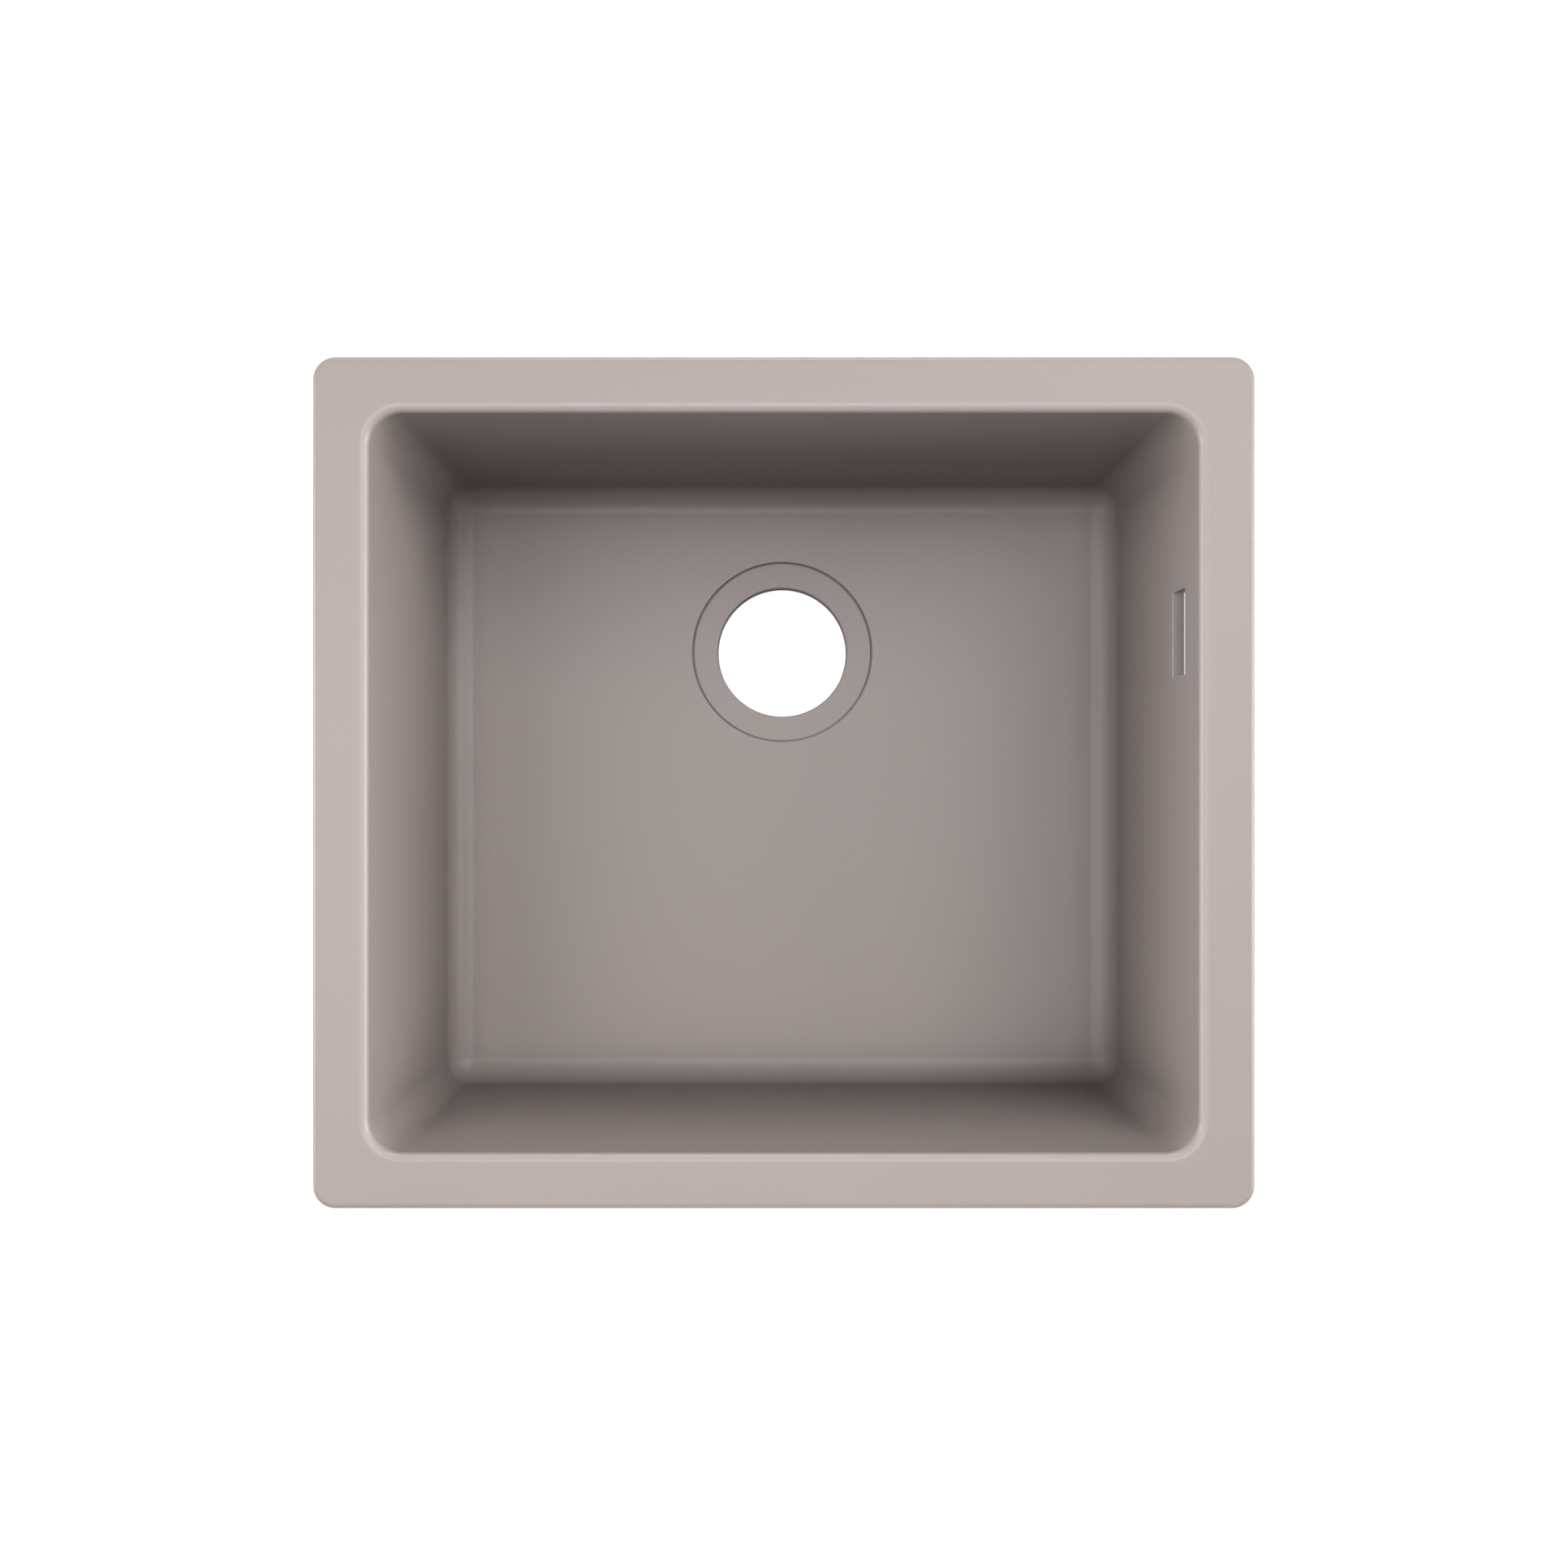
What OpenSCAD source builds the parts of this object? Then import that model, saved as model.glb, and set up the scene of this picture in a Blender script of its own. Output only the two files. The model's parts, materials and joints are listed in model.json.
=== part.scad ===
// Undermount kitchen sink: a moulded quartz-composite bowl with the fixing lugs under its rim.
// The origin is the middle of the rim's top face. +Z is up and +Y points to the drain's end.

/* [Rim] */
// Width of the rim, left to right
rim_w = 500; // [460:1:700]
// Depth of the rim, front to back
rim_d = 452; // [420:1:560]
// Thickness of the rim
rim_t = 10; // [8:0.5:14]
// Corner radius of the rim, seen from above
rim_corner_r = 12; // [6:0.5:20]
// Rounding along the top of the rim's outer edge
rim_edge_r = 3; // [1:0.25:4]
// Rounding along the bottom of the rim's outer edge
rim_under_r = 1; // [0.5:0.25:2]
// Rounding in the angle between the rim's underside and the wall
rim_root_r = 3; // [1:0.25:3.5]

/* [Bowl] */
// Width of the rim's top, from its outer edge to the line of the wall
rim_land = 29.5; // [27:0.5:40]
// Rounding where the rim turns down into the bowl
lip_r = 4.5; // [2:0.25:6]
// Depth from the rim's top to the floor
bowl_depth = 190; // [150:1:230]
// How far each wall leans inwards from the rim to the floor
wall_draft = 2.5; // [1:0.25:2.5]
// Thickness of the walls
wall_t = 7; // [5:0.25:7.5]
// Thickness of the floor
floor_t = 9; // [7:0.25:14]
// Radius of the bowl's upright corners at the rim
corner_r = 17.5; // [17.5:0.5:40]
// Radius of the sweep from the walls to the floor
sweep_r = 14.5; // [8:0.25:14.5]

/* [Drain] */
// Diameter of the waste hole
waste_d = 85; // [60:0.5:92]
// Diameter of the sunk seat round the waste hole
seat_d = 118.6; // [106:0.5:124]
// Depth of the sunk seat
seat_depth = 2.5; // [1:0.25:4]
// Distance from the rim's back edge to the middle of the waste hole
waste_back = 138; // [126:1:166]
// Diameter of the boss under the waste hole
boss_d = 132; // [126:1:150]
// Height of the boss under the floor
boss_h = 4; // [2:0.5:10]
// Rounding at the foot of the boss
boss_edge_r = 2; // [0.5:0.25:2]

/* [Overflow] */
// Length of the overflow slot along the wall
slot_len = 48; // [30:0.1:60]
// Height of the overflow slot
slot_h = 24; // [12:0.1:30]
// Distance of the slot's top below the rim's top
slot_top = 27.5; // [25:0.5:45]
// Distance from the rim's back edge to the middle of the slot
slot_back = 142.4; // [136:0.1:166]
// Chamfer round the slot's outer mouth
slot_chamfer = 0.4; // [0.4:0.1:2]

/* [Fixings] */
// Number of lugs along the front, and as many along the back
lugs_long = 3; // [3:1:3]
// Number of lugs along each side
lugs_short = 2; // [2:1:2]
// Distance from the rim's ends to the outermost front and back lugs' screws
long_margin = 90; // [70:1:120]
// Distance from the rim's front and back edges to the side lugs' screws
short_margin = 76; // [66:1:91]
// Distance from the rim's outer edge to the screws
screw_inset = 9.5; // [9:0.25:10.5]
// Thickness of a lug
lug_t = 2.5; // [1.5:0.1:4]
// Width of a lug
lug_w = 15; // [13:0.5:16]
// Distance between a lug's two holes
lug_reach = 30; // [24:0.5:40]
// Diameter of the hole for the worktop screw
lug_hole_d = 6.6; // [4:0.1:7]
// Play of a lug between its boss and its washer
lug_play = 0.1; // [0.05:0.05:0.3]
// Diameter of the moulded boss round an insert
stud_boss_d = 15; // [13:0.5:16]
// Height of the moulded boss round an insert
stud_boss_h = 3; // [2:0.5:6]
// Nominal diameter of the screws
screw_d = 6; // [5:0.25:6]
// Length of the screws under the head
screw_len = 14; // [13:0.5:15]
// Width of a screw's head across its flats
head_af = 10; // [8:0.5:11]
// Height of a screw's head
head_h = 4; // [3:0.25:5]
// Diameter of a brass insert
insert_d = 9; // [8.5:0.25:10]
// Length of a brass insert
insert_len = 9; // [8:0.25:9.5]
// Depth of the groove round an insert
insert_groove = 0.6; // [0.3:0.1:0.8]
// Width of the groove round an insert
insert_groove_w = 2; // [1:0.25:3]
// Diameter of a plain washer
washer_d = 12; // [11:0.5:14]
// Thickness of a plain washer
washer_t = 1.6; // [1:0.1:2.5]
// Outer diameter of a spring washer
spring_d = 10.6; // [9.5:0.1:11]
// Thickness of a spring washer
spring_t = 1.5; // [1:0.1:2]
// Width of the split in a spring washer
split_w = 1.2; // [0.6:0.1:2]

/* [Fits] */
// Radial clearance of a lug on its screw
pivot_gap = 0.075; // [0.02:0.005:0.1]
// Radial clearance of a screw in its insert and of an insert in its pocket
static_gap = 0.05; // [0.02:0.01:0.1]
// Radial clearance of the washers on the screws
washer_gap = 0.2; // [0.1:0.05:0.4]
// Space left above an insert in its pocket
pocket_spare = 0.5; // [0.2:0.1:1]

/* [Hidden] */
// Overrun of every cut past the face that it goes through
over = 1;
// Facets of a true circle
$fn = 96;
// Steps of each rounding in a section
arc_steps = 8;
half_turn = 180;
quarter_turn = 90;
// Sides of a screw's head
hex_sides = 6;

// Middle lines of the bowl's upright corners
axis_x = rim_w / 2 - rim_land - corner_r;
axis_y = rim_d / 2 - rim_land - corner_r;
// Middle lines of the rim's corners
edge_x = rim_w / 2 - rim_corner_r;
edge_y = rim_d / 2 - rim_corner_r;
// Places of the waste hole and the slot behind the middle of the rim
waste_y = rim_d / 2 - waste_back;
slot_y = rim_d / 2 - slot_back;
// Lean of the walls
lean = atan(wall_draft / bowl_depth);
floor_z = -bowl_depth;
base_z = floor_z - floor_t;
boss_z = base_z - boss_h;
// Distance from a corner's middle line to the wall's two faces, at height z
function inner_u(z) = corner_r + wall_draft * z / bowl_depth;
function outer_u(z) = inner_u(z) + wall_t;
// Where the wall's section ends under the rim, and where the flat rim begins inside it
web_u = outer_u(-rim_t) + 2 * rim_root_r;
flat_u = web_u - rim_root_r / 2;
// Outside radius of the sweep from wall to floor
outer_sweep_r = sweep_r + wall_t;

// Screw places and the stack on each, downwards
screw_x = rim_w / 2 - screw_inset;
screw_y = rim_d / 2 - screw_inset;
long_span = rim_w / 2 - long_margin;
short_span = rim_d / 2 - short_margin;
stud_z = -rim_t - stud_boss_h;
lug_z = stud_z - lug_play / 2;
washer_z = stud_z - lug_play - lug_t;
spring_z = washer_z - washer_t;
head_z = spring_z - spring_t;
pocket_d = insert_d + 2 * static_gap;
pocket_len = insert_len + pocket_spare;

// Each lug's place and the way that it points at rest: front, back, left and right rows
long_step = 2 * long_span / (lugs_long - 1);
short_step = 2 * short_span / (lugs_short - 1);
front_lugs = [for (i = [0:lugs_long - 1]) [-long_span + i * long_step, -screw_y, row_turn(i, lugs_long)]];
back_lugs = [for (i = [0:lugs_long - 1]) [-long_span + i * long_step, screw_y, row_turn(i, lugs_long)]];
left_lugs = [for (i = [0:lugs_short - 1]) [-screw_x, -short_span + i * short_step, side_turn(i)]];
right_lugs = [for (i = [0:lugs_short - 1]) [screw_x, -short_span + i * short_step, side_turn(i)]];
lugs = concat(front_lugs, back_lugs, left_lugs, right_lugs);
// A front or back lug points to +X, but for the last, which points to -X
function row_turn(i, n) = i == n - 1 ? half_turn : 0;
// A side lug points to the nearer corner
function side_turn(i) = i == 0 ? -quarter_turn : quarter_turn;

// Points on an arc of radius r about c, from one angle to another
function arc(c, r, from, to) =
    [for (i = [0:arc_steps]) let (a = from + (to - from) * i / arc_steps) c + r * [cos(a), sin(a)]];

// Wall, floor edge and rim root in section: x runs outwards from the corner's middle line
module wall_section() {
    lip_c = [inner_u(-lip_r) + lip_r / cos(lean), -lip_r];
    sweep_z = floor_z + sweep_r;
    sweep_c = [inner_u(sweep_z) - sweep_r / cos(lean), sweep_z];
    heel_z = base_z + outer_sweep_r;
    heel_c = [outer_u(heel_z) - outer_sweep_r / cos(lean), heel_z];
    root_z = -rim_t - rim_root_r;
    root_c = [outer_u(root_z) + rim_root_r / cos(lean), root_z];
    polygon(concat(
        [[0, floor_z], [0, base_z]],
        arc(heel_c, outer_sweep_r, -quarter_turn, -lean),
        arc(root_c, rim_root_r, half_turn - lean, quarter_turn),
        [[web_u, -rim_t], [web_u, 0]],
        arc(lip_c, lip_r, quarter_turn, half_turn - lean),
        arc(sweep_c, sweep_r, -lean, -quarter_turn)
    ));
}

// Outer edge of the rim in section, from the corner's middle line outwards
module edge_section() {
    low_c = [rim_corner_r - rim_under_r, -rim_t + rim_under_r];
    top_c = [rim_corner_r - rim_edge_r, -rim_edge_r];
    polygon(concat(
        [[0, 0], [0, -rim_t]],
        arc(low_c, rim_under_r, -quarter_turn, 0),
        arc(top_c, rim_edge_r, 0, quarter_turn)
    ));
}

// A section carried round a rectangle whose corners have their middle lines at x, y
module round_frame(x, y) {
    for (i = [0, 1]) {
        rotate([0, 0, i * half_turn]) {
            translate([x, y, 0]) rotate_extrude(angle = quarter_turn) children();
            translate([-x, y, 0]) rotate([0, 0, quarter_turn]) {
                rotate_extrude(angle = quarter_turn) children();
            }
            translate([x, y, 0]) rotate([quarter_turn, 0, 0]) linear_extrude(2 * y) children();
            translate([-x, y, 0]) rotate([quarter_turn, 0, quarter_turn]) {
                linear_extrude(2 * x) children();
            }
        }
    }
}

module centred_block(x, y, z, h) {
    translate([-x, -y, z]) cube([2 * x, 2 * y, h]);
}

// Flat part of the rim between the wall's section and the outer edge's section
module rim_web() {
    difference() {
        centred_block(edge_x, edge_y, -rim_t, rim_t);
        centred_block(axis_x + flat_u, axis_y, -rim_t - over, rim_t + 2 * over);
        centred_block(axis_x, axis_y + flat_u, -rim_t - over, rim_t + 2 * over);
        for (sx = [-1, 1], sy = [-1, 1]) {
            translate([sx * axis_x, sy * axis_y, -rim_t - over]) {
                cylinder(h = rim_t + 2 * over, r = flat_u);
            }
        }
    }
}

// Boss under the waste hole, with a rounded foot
module waste_boss() {
    foot_c = [boss_d / 2 - boss_edge_r, boss_z + boss_edge_r];
    translate([0, waste_y, 0]) rotate_extrude() {
        polygon(concat(
            [[0, base_z], [0, boss_z]],
            arc(foot_c, boss_edge_r, -quarter_turn, 0),
            [[boss_d / 2, base_z]]
        ));
    }
}

// Slot through the right-hand wall, with a chamfer round its outer mouth
module overflow_cut() {
    inner_x = axis_x + inner_u(-slot_top - slot_h) - over;
    mouth_x = axis_x + outer_u(-slot_top - slot_h) - slot_chamfer;
    flare_x = mouth_x + over + slot_chamfer;
    low_z = -slot_top - slot_h;
    start_y = slot_y - slot_len / 2;
    end_y = slot_y + slot_len / 2;
    flare = flare_x - mouth_x;
    translate([0, end_y, 0]) rotate([quarter_turn, 0, 0]) linear_extrude(slot_len) {
        polygon([
            [inner_x, low_z], [mouth_x, low_z], [flare_x, low_z - flare],
            [flare_x, -slot_top + flare], [mouth_x, -slot_top], [inner_x, -slot_top]
        ]);
    }
    translate([0, 0, low_z]) linear_extrude(slot_h) {
        polygon([
            [inner_x, start_y], [mouth_x, start_y], [flare_x, start_y - flare],
            [flare_x, end_y + flare], [mouth_x, end_y], [inner_x, end_y]
        ]);
    }
}

module bowl() {
    color([0.73, 0.69, 0.67]) difference() {
        union() {
            round_frame(axis_x, axis_y) wall_section();
            round_frame(edge_x, edge_y) edge_section();
            rim_web();
            centred_block(axis_x, axis_y, base_z, floor_t);
            waste_boss();
            for (p = lugs) translate([p[0], p[1], stud_z]) {
                cylinder(h = stud_boss_h + rim_t / 2, d = stud_boss_d);
            }
        }
        translate([0, waste_y, floor_z - seat_depth]) cylinder(h = seat_depth + over, d = seat_d);
        translate([0, waste_y, boss_z - over]) {
            cylinder(h = floor_z - boss_z + 2 * over, d = waste_d);
        }
        overflow_cut();
        for (p = lugs) {
            translate([p[0], p[1], stud_z - over]) cylinder(h = pocket_len + over, d = pocket_d);
        }
    }
}

// Brass bush with a groove that keys it into the moulding
module insert() {
    bore_r = screw_d / 2 + static_gap;
    groove_z = (insert_len - insert_groove_w) / 2;
    difference() {
        cylinder(h = insert_len, d = insert_d);
        translate([0, 0, -over]) cylinder(h = insert_len + 2 * over, r = bore_r);
        translate([0, 0, groove_z]) difference() {
            cylinder(h = insert_groove_w, d = insert_d + over);
            translate([0, 0, -over]) {
                cylinder(h = insert_groove_w + 2 * over, d = insert_d - 2 * insert_groove);
            }
        }
    }
}

module rim_inserts() {
    color([0.80, 0.65, 0.35]) for (p = lugs) translate([p[0], p[1], stud_z]) insert();
}

// Hexagon-headed screw, with its shank upwards
module lug_screws() {
    head_d = head_af / cos(half_turn / hex_sides);
    color([0.72, 0.73, 0.75]) for (p = lugs) translate([p[0], p[1], head_z]) {
        cylinder(h = screw_len, d = screw_d);
        translate([0, 0, -head_h]) cylinder(h = head_h, d = head_d, $fn = hex_sides);
    }
}

module plain_ring(d, t) {
    difference() {
        cylinder(h = t, d = d);
        translate([0, 0, -over]) cylinder(h = t + 2 * over, r = screw_d / 2 + washer_gap);
    }
}

module lug_washers() {
    color([0.76, 0.77, 0.78]) for (p = lugs) translate([p[0], p[1], spring_z]) {
        plain_ring(washer_d, washer_t);
    }
}

module lug_spring_washers() {
    color([0.55, 0.56, 0.58]) for (p = lugs) translate([p[0], p[1], head_z]) difference() {
        plain_ring(spring_d, spring_t);
        translate([0, -split_w / 2, -over]) cube([spring_d, split_w, spring_t + 2 * over]);
    }
}

// Flat lug with round ends, turning on its screw at [0, 0] with its worktop hole at the other end
module lug(p) {
    color([0.80, 0.81, 0.82]) translate([p[0], p[1], lug_z - lug_t]) rotate([0, 0, p[2]]) {
        difference() {
            union() {
                cylinder(h = lug_t, d = lug_w);
                translate([0, -lug_w / 2, 0]) cube([lug_reach, lug_w, lug_t]);
                translate([lug_reach, 0, 0]) cylinder(h = lug_t, d = lug_w);
            }
            translate([0, 0, -over]) cylinder(h = lug_t + 2 * over, r = screw_d / 2 + pivot_gap);
            translate([lug_reach, 0, -over]) cylinder(h = lug_t + 2 * over, d = lug_hole_d);
        }
    }
}

bowl();
rim_inserts();
lug_screws();
lug_washers();
lug_spring_washers();
lug(front_lugs[0]);  // lug_front_1
lug(front_lugs[1]);  // lug_front_2
lug(front_lugs[2]);  // lug_front_3
lug(back_lugs[0]);  // lug_back_1
lug(back_lugs[1]);  // lug_back_2
lug(back_lugs[2]);  // lug_back_3
lug(left_lugs[0]);  // lug_left_1
lug(left_lugs[1]);  // lug_left_2
lug(right_lugs[0]);  // lug_right_1
lug(right_lugs[1]);  // lug_right_2
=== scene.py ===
# %% [markdown]
# # An undermount kitchen sink, dressed for its portrait
# The CAD model already says where everything is and how big it is. Blender's job is to say what it
# looks like: a matt, warm grey moulding of quartz and resin, with small steel fittings hidden under
# its rim. This first cell loads the CAD model as a fixed frame. Nothing below moves or resizes it.

# %% Load the frame
import json
import math

import bmesh
import bpy
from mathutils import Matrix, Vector


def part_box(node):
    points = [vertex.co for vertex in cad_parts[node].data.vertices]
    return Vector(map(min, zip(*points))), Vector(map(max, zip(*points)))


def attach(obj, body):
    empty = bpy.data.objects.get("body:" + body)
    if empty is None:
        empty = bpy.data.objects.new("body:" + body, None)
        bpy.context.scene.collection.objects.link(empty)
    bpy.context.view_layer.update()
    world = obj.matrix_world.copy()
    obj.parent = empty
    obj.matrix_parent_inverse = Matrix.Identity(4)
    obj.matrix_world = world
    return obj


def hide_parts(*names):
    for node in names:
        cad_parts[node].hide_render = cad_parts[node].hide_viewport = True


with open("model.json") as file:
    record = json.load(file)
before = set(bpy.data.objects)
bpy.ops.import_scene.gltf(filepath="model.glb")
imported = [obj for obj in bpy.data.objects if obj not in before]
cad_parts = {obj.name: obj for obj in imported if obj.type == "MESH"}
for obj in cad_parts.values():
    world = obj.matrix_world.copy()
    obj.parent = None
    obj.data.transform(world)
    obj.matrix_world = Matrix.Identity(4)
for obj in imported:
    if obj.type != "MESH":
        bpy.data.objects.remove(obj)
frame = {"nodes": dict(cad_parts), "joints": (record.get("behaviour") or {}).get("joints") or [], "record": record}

MM = 0.001
scene = bpy.context.scene
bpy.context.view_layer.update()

# %% [markdown]
# ## Camera
# The portrait looks straight down into the bowl. Two things fix such a view: how far the camera is
# (near the rim, the walls fan out; from far away they would hide) and how long the lens is. The
# floor of the bowl looks 0.80 times as big as the rim, and it is 190 mm further off, so the camera
# is about 773 mm above the rim. The lens then follows from the size of the rim in the frame. The
# sink sits a little off the middle of the picture without leaning, which is a shift of the lens.

# %% Camera above the bowl
CAMERA_HEIGHT = 773 * MM
CAMERA_X, CAMERA_Y = -4.2 * MM, -7.6 * MM
SENSOR_WIDTH, LENS = 36, 33.52
SHIFT_X, SHIFT_Y = 0.0052, 0.0083

camera = bpy.data.objects.new("camera", bpy.data.cameras.new("camera"))
camera.data.sensor_fit = "HORIZONTAL"
camera.data.sensor_width = SENSOR_WIDTH
camera.data.lens = LENS
camera.data.shift_x, camera.data.shift_y = SHIFT_X, SHIFT_Y
camera.location = (CAMERA_X, CAMERA_Y, CAMERA_HEIGHT)
scene.collection.objects.link(camera)
scene.camera = camera
print(f"camera {CAMERA_HEIGHT:.3f} m above the rim, lens {LENS} mm")

# %% [markdown]
# ## Sums that build nodes
# Both a material and a Geometry Nodes tree are networks of small nodes. Wiring each one by hand
# hides the idea, so one small class wraps an output socket: adding, multiplying or comparing two of
# them adds the Math node that does it. All that isn't plain arithmetic comes from `Net.add`.

# %% Value: a socket that can be summed
class Value:
    """An output socket that takes part in Python sums."""

    def __init__(self, net, socket):
        self.net, self.socket = net, socket

    def __add__(self, other): return self.net.math("ADD", self, other)
    def __radd__(self, other): return self.net.math("ADD", other, self)
    def __sub__(self, other): return self.net.math("SUBTRACT", self, other)
    def __rsub__(self, other): return self.net.math("SUBTRACT", other, self)
    def __mul__(self, other): return self.net.math("MULTIPLY", self, other)
    def __rmul__(self, other): return self.net.math("MULTIPLY", other, self)
    def __truediv__(self, other): return self.net.math("DIVIDE", self, other)
    def __rtruediv__(self, other): return self.net.math("DIVIDE", other, self)
    def __mod__(self, other): return self.net.math("FLOORED_MODULO", self, other)
    def __pow__(self, other): return self.net.math("POWER", self, other)
    def __gt__(self, other): return self.net.math("GREATER_THAN", self, other)
    def __lt__(self, other): return self.net.math("LESS_THAN", self, other)
    def __neg__(self): return self.net.math("MULTIPLY", self, -1.0)


print("Value takes sums, powers, remainders and comparisons of sockets")

# %% Net: a tree that grows a node at a time
class Net:
    """A node tree, with one method that adds any node and joins up its sockets."""

    def __init__(self, tree):
        self.tree = tree

    def add(self, kind, settings=None, sockets=None, output=0):
        """Settings come first, because some of them change which sockets the node has."""
        node = self.tree.nodes.new(kind)
        for name, setting in (settings or {}).items():
            if name == "items":
                for _ in range(setting - len(node.index_switch_items)):
                    node.index_switch_items.new()
            else:
                setattr(node, name, setting)
        for name, value in (sockets or {}).items():
            for one in value if isinstance(value, list) else [value]:
                if isinstance(one, Value):
                    self.tree.links.new(one.socket, node.inputs[name])
                else:
                    node.inputs[name].default_value = one
        return Value(self, node.outputs[output] if len(node.outputs) else None)

    def math(self, operation, *values):
        return self.add("ShaderNodeMath", {"operation": operation}, dict(enumerate(values)))

    def point(self, x, y, z):
        return self.add("ShaderNodeCombineXYZ", {}, {"X": x, "Y": y, "Z": z})

    def parts(self, vector):
        node = self.add("ShaderNodeSeparateXYZ", {}, {"Vector": vector}).socket.node
        return [Value(self, output) for output in node.outputs]


print("Net adds any node by its type, settings and sockets")

# %% [markdown]
# ## Growing a mesh from a tree
# The bowl follows one section all round, and its fittings repeat ten times. Both could be modelled
# by hand, but every change of a size would mean doing it again. So each shape here is a recipe, a
# Geometry Nodes tree with named inputs for its sizes. `grow` builds the tree, runs it once on a few
# seed points and keeps the result as an ordinary mesh.

# %% Grow a mesh
def grow(name, build, sizes, material, places=((0, 0, 0),)):
    """Runs build(net, inputs, points) as a tree on the seed places, and returns the plain mesh."""
    tree = bpy.data.node_groups.new(name, "GeometryNodeTree")
    tree.interface.new_socket("Points", in_out="INPUT", socket_type="NodeSocketGeometry")
    tree.interface.new_socket("Mesh", in_out="OUTPUT", socket_type="NodeSocketGeometry")
    identifiers = {}
    for label, size in sizes.items():
        kind = "NodeSocketInt" if isinstance(size, int) else "NodeSocketFloat"
        socket = tree.interface.new_socket(label, in_out="INPUT", socket_type=kind)
        identifiers[label] = socket.identifier
    net = Net(tree)
    given = tree.nodes.new("NodeGroupInput")
    inputs = {label: Value(net, given.outputs[label]) for label in sizes}
    shape = build(net, inputs, Value(net, given.outputs["Points"]))
    shape = net.add("GeometryNodeRealizeInstances", {}, {"Geometry": shape})
    shape = net.add("GeometryNodeSetMaterial", {}, {"Geometry": shape, "Material": material})
    tree.links.new(shape.socket, tree.nodes.new("NodeGroupOutput").inputs[0])

    seed_mesh = bpy.data.meshes.new(name + "_seed")
    seed_mesh.from_pydata([tuple(spot) for spot in places], [], [])
    seed = bpy.data.objects.new(name + "_seed", seed_mesh)
    scene.collection.objects.link(seed)
    modifier = seed.modifiers.new("grow", "NODES")
    modifier.node_group = tree
    for label, size in sizes.items():
        modifier[identifiers[label]] = size
    grown = seed.evaluated_get(bpy.context.evaluated_depsgraph_get())
    mesh = bpy.data.meshes.new_from_object(grown)
    bpy.data.objects.remove(seed)
    mesh.name = name
    print(f"{name}: grown from {len(tree.nodes)} nodes")
    return mesh


print("grow takes a tree's recipe and its sizes, and gives back a plain mesh")

# %% [markdown]
# ## Closing a mesh and easing its edges
# No real edge is perfectly sharp. A moulded or stamped edge is eased by a few hundredths of a
# millimetre or more, and that is what catches a thin line of light. A Bevel modifier would ease
# every sharp edge alike. Working on the mesh itself, `finish_mesh` can pick the edges by their
# place, and it also checks that the mesh is closed and faces outwards.

# %% Finish a mesh
SHARP = math.radians(35)
WELD = 0.002 * MM


def is_sharp(edge):
    return len(edge.link_faces) == 2 and edge.calc_face_angle() > SHARP


def finish_mesh(mesh, edge_round=0.0, steps=2, near=None):
    """Closes and turns a mesh outwards, rounds its sharp edges, and shades it smooth."""
    bm = bmesh.new()
    bm.from_mesh(mesh)
    bmesh.ops.remove_doubles(bm, verts=bm.verts, dist=WELD)
    bmesh.ops.dissolve_degenerate(bm, edges=bm.edges, dist=WELD)
    bmesh.ops.recalc_face_normals(bm, faces=bm.faces)
    if edge_round:
        eased = [edge for edge in bm.edges if is_sharp(edge)
                 and (near is None or all(near(corner.co) for corner in edge.verts))]
        bmesh.ops.bevel(bm, geom=eased, offset=edge_round, segments=steps, profile=0.5,
                        affect="EDGES", clamp_overlap=True)
    for face in bm.faces:
        face.smooth = True
    for edge in bm.edges:
        edge.smooth = not is_sharp(edge)
    volume = bm.calc_volume() * 1e6
    open_edges = sum(not edge.is_manifold for edge in bm.edges)
    bm.to_mesh(mesh)
    bm.free()
    print(f"{mesh.name}: {len(mesh.polygons)} faces, {volume:.2f} cm3, {open_edges} open edges")
    return mesh


print(f"edges over {math.degrees(SHARP):.0f} degrees are sharp")

# %% [markdown]
# ## Putting a piece on its body
# Each drawn piece stands in for a plain CAD node, and it rides on the body that carries it, so that
# a lug's plate turns with the lug's joint. Beside a rounded edge, smooth shading would make a flat
# face look pillowed. Weighted normals keep it flat, and they are applied to the mesh before the
# piece is put on its body.

# %% Place a piece
def place(mesh, body, node, slot):
    """Makes an object of a mesh that rides on a body and takes the place of one CAD node."""
    piece = bpy.data.objects.new(mesh.name, mesh)
    scene.collection.objects.link(piece)
    weighted = piece.modifiers.new("weighted", "WEIGHTED_NORMAL")
    weighted.keep_sharp = True
    weighted.weight = 100
    shaded = bpy.data.meshes.new_from_object(
        piece.evaluated_get(bpy.context.evaluated_depsgraph_get()))
    piece.modifiers.clear()
    piece.data = shaded
    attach(piece, body)
    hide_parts(node)
    print(f"{piece.name} rides on {body} in place of {node}, slot {slot}")


print(len(frame["nodes"]), "CAD nodes to stand in for or to keep")

# %% [markdown]
# ## Sizes
# The few sizes that the bowl is drawn from. Places that other parts meet, such as the waste hole
# and the screws, could be typed in too, but they are read from the frame so that they can't
# disagree with it. Heights are from the top of the rim, which is zero.

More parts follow.
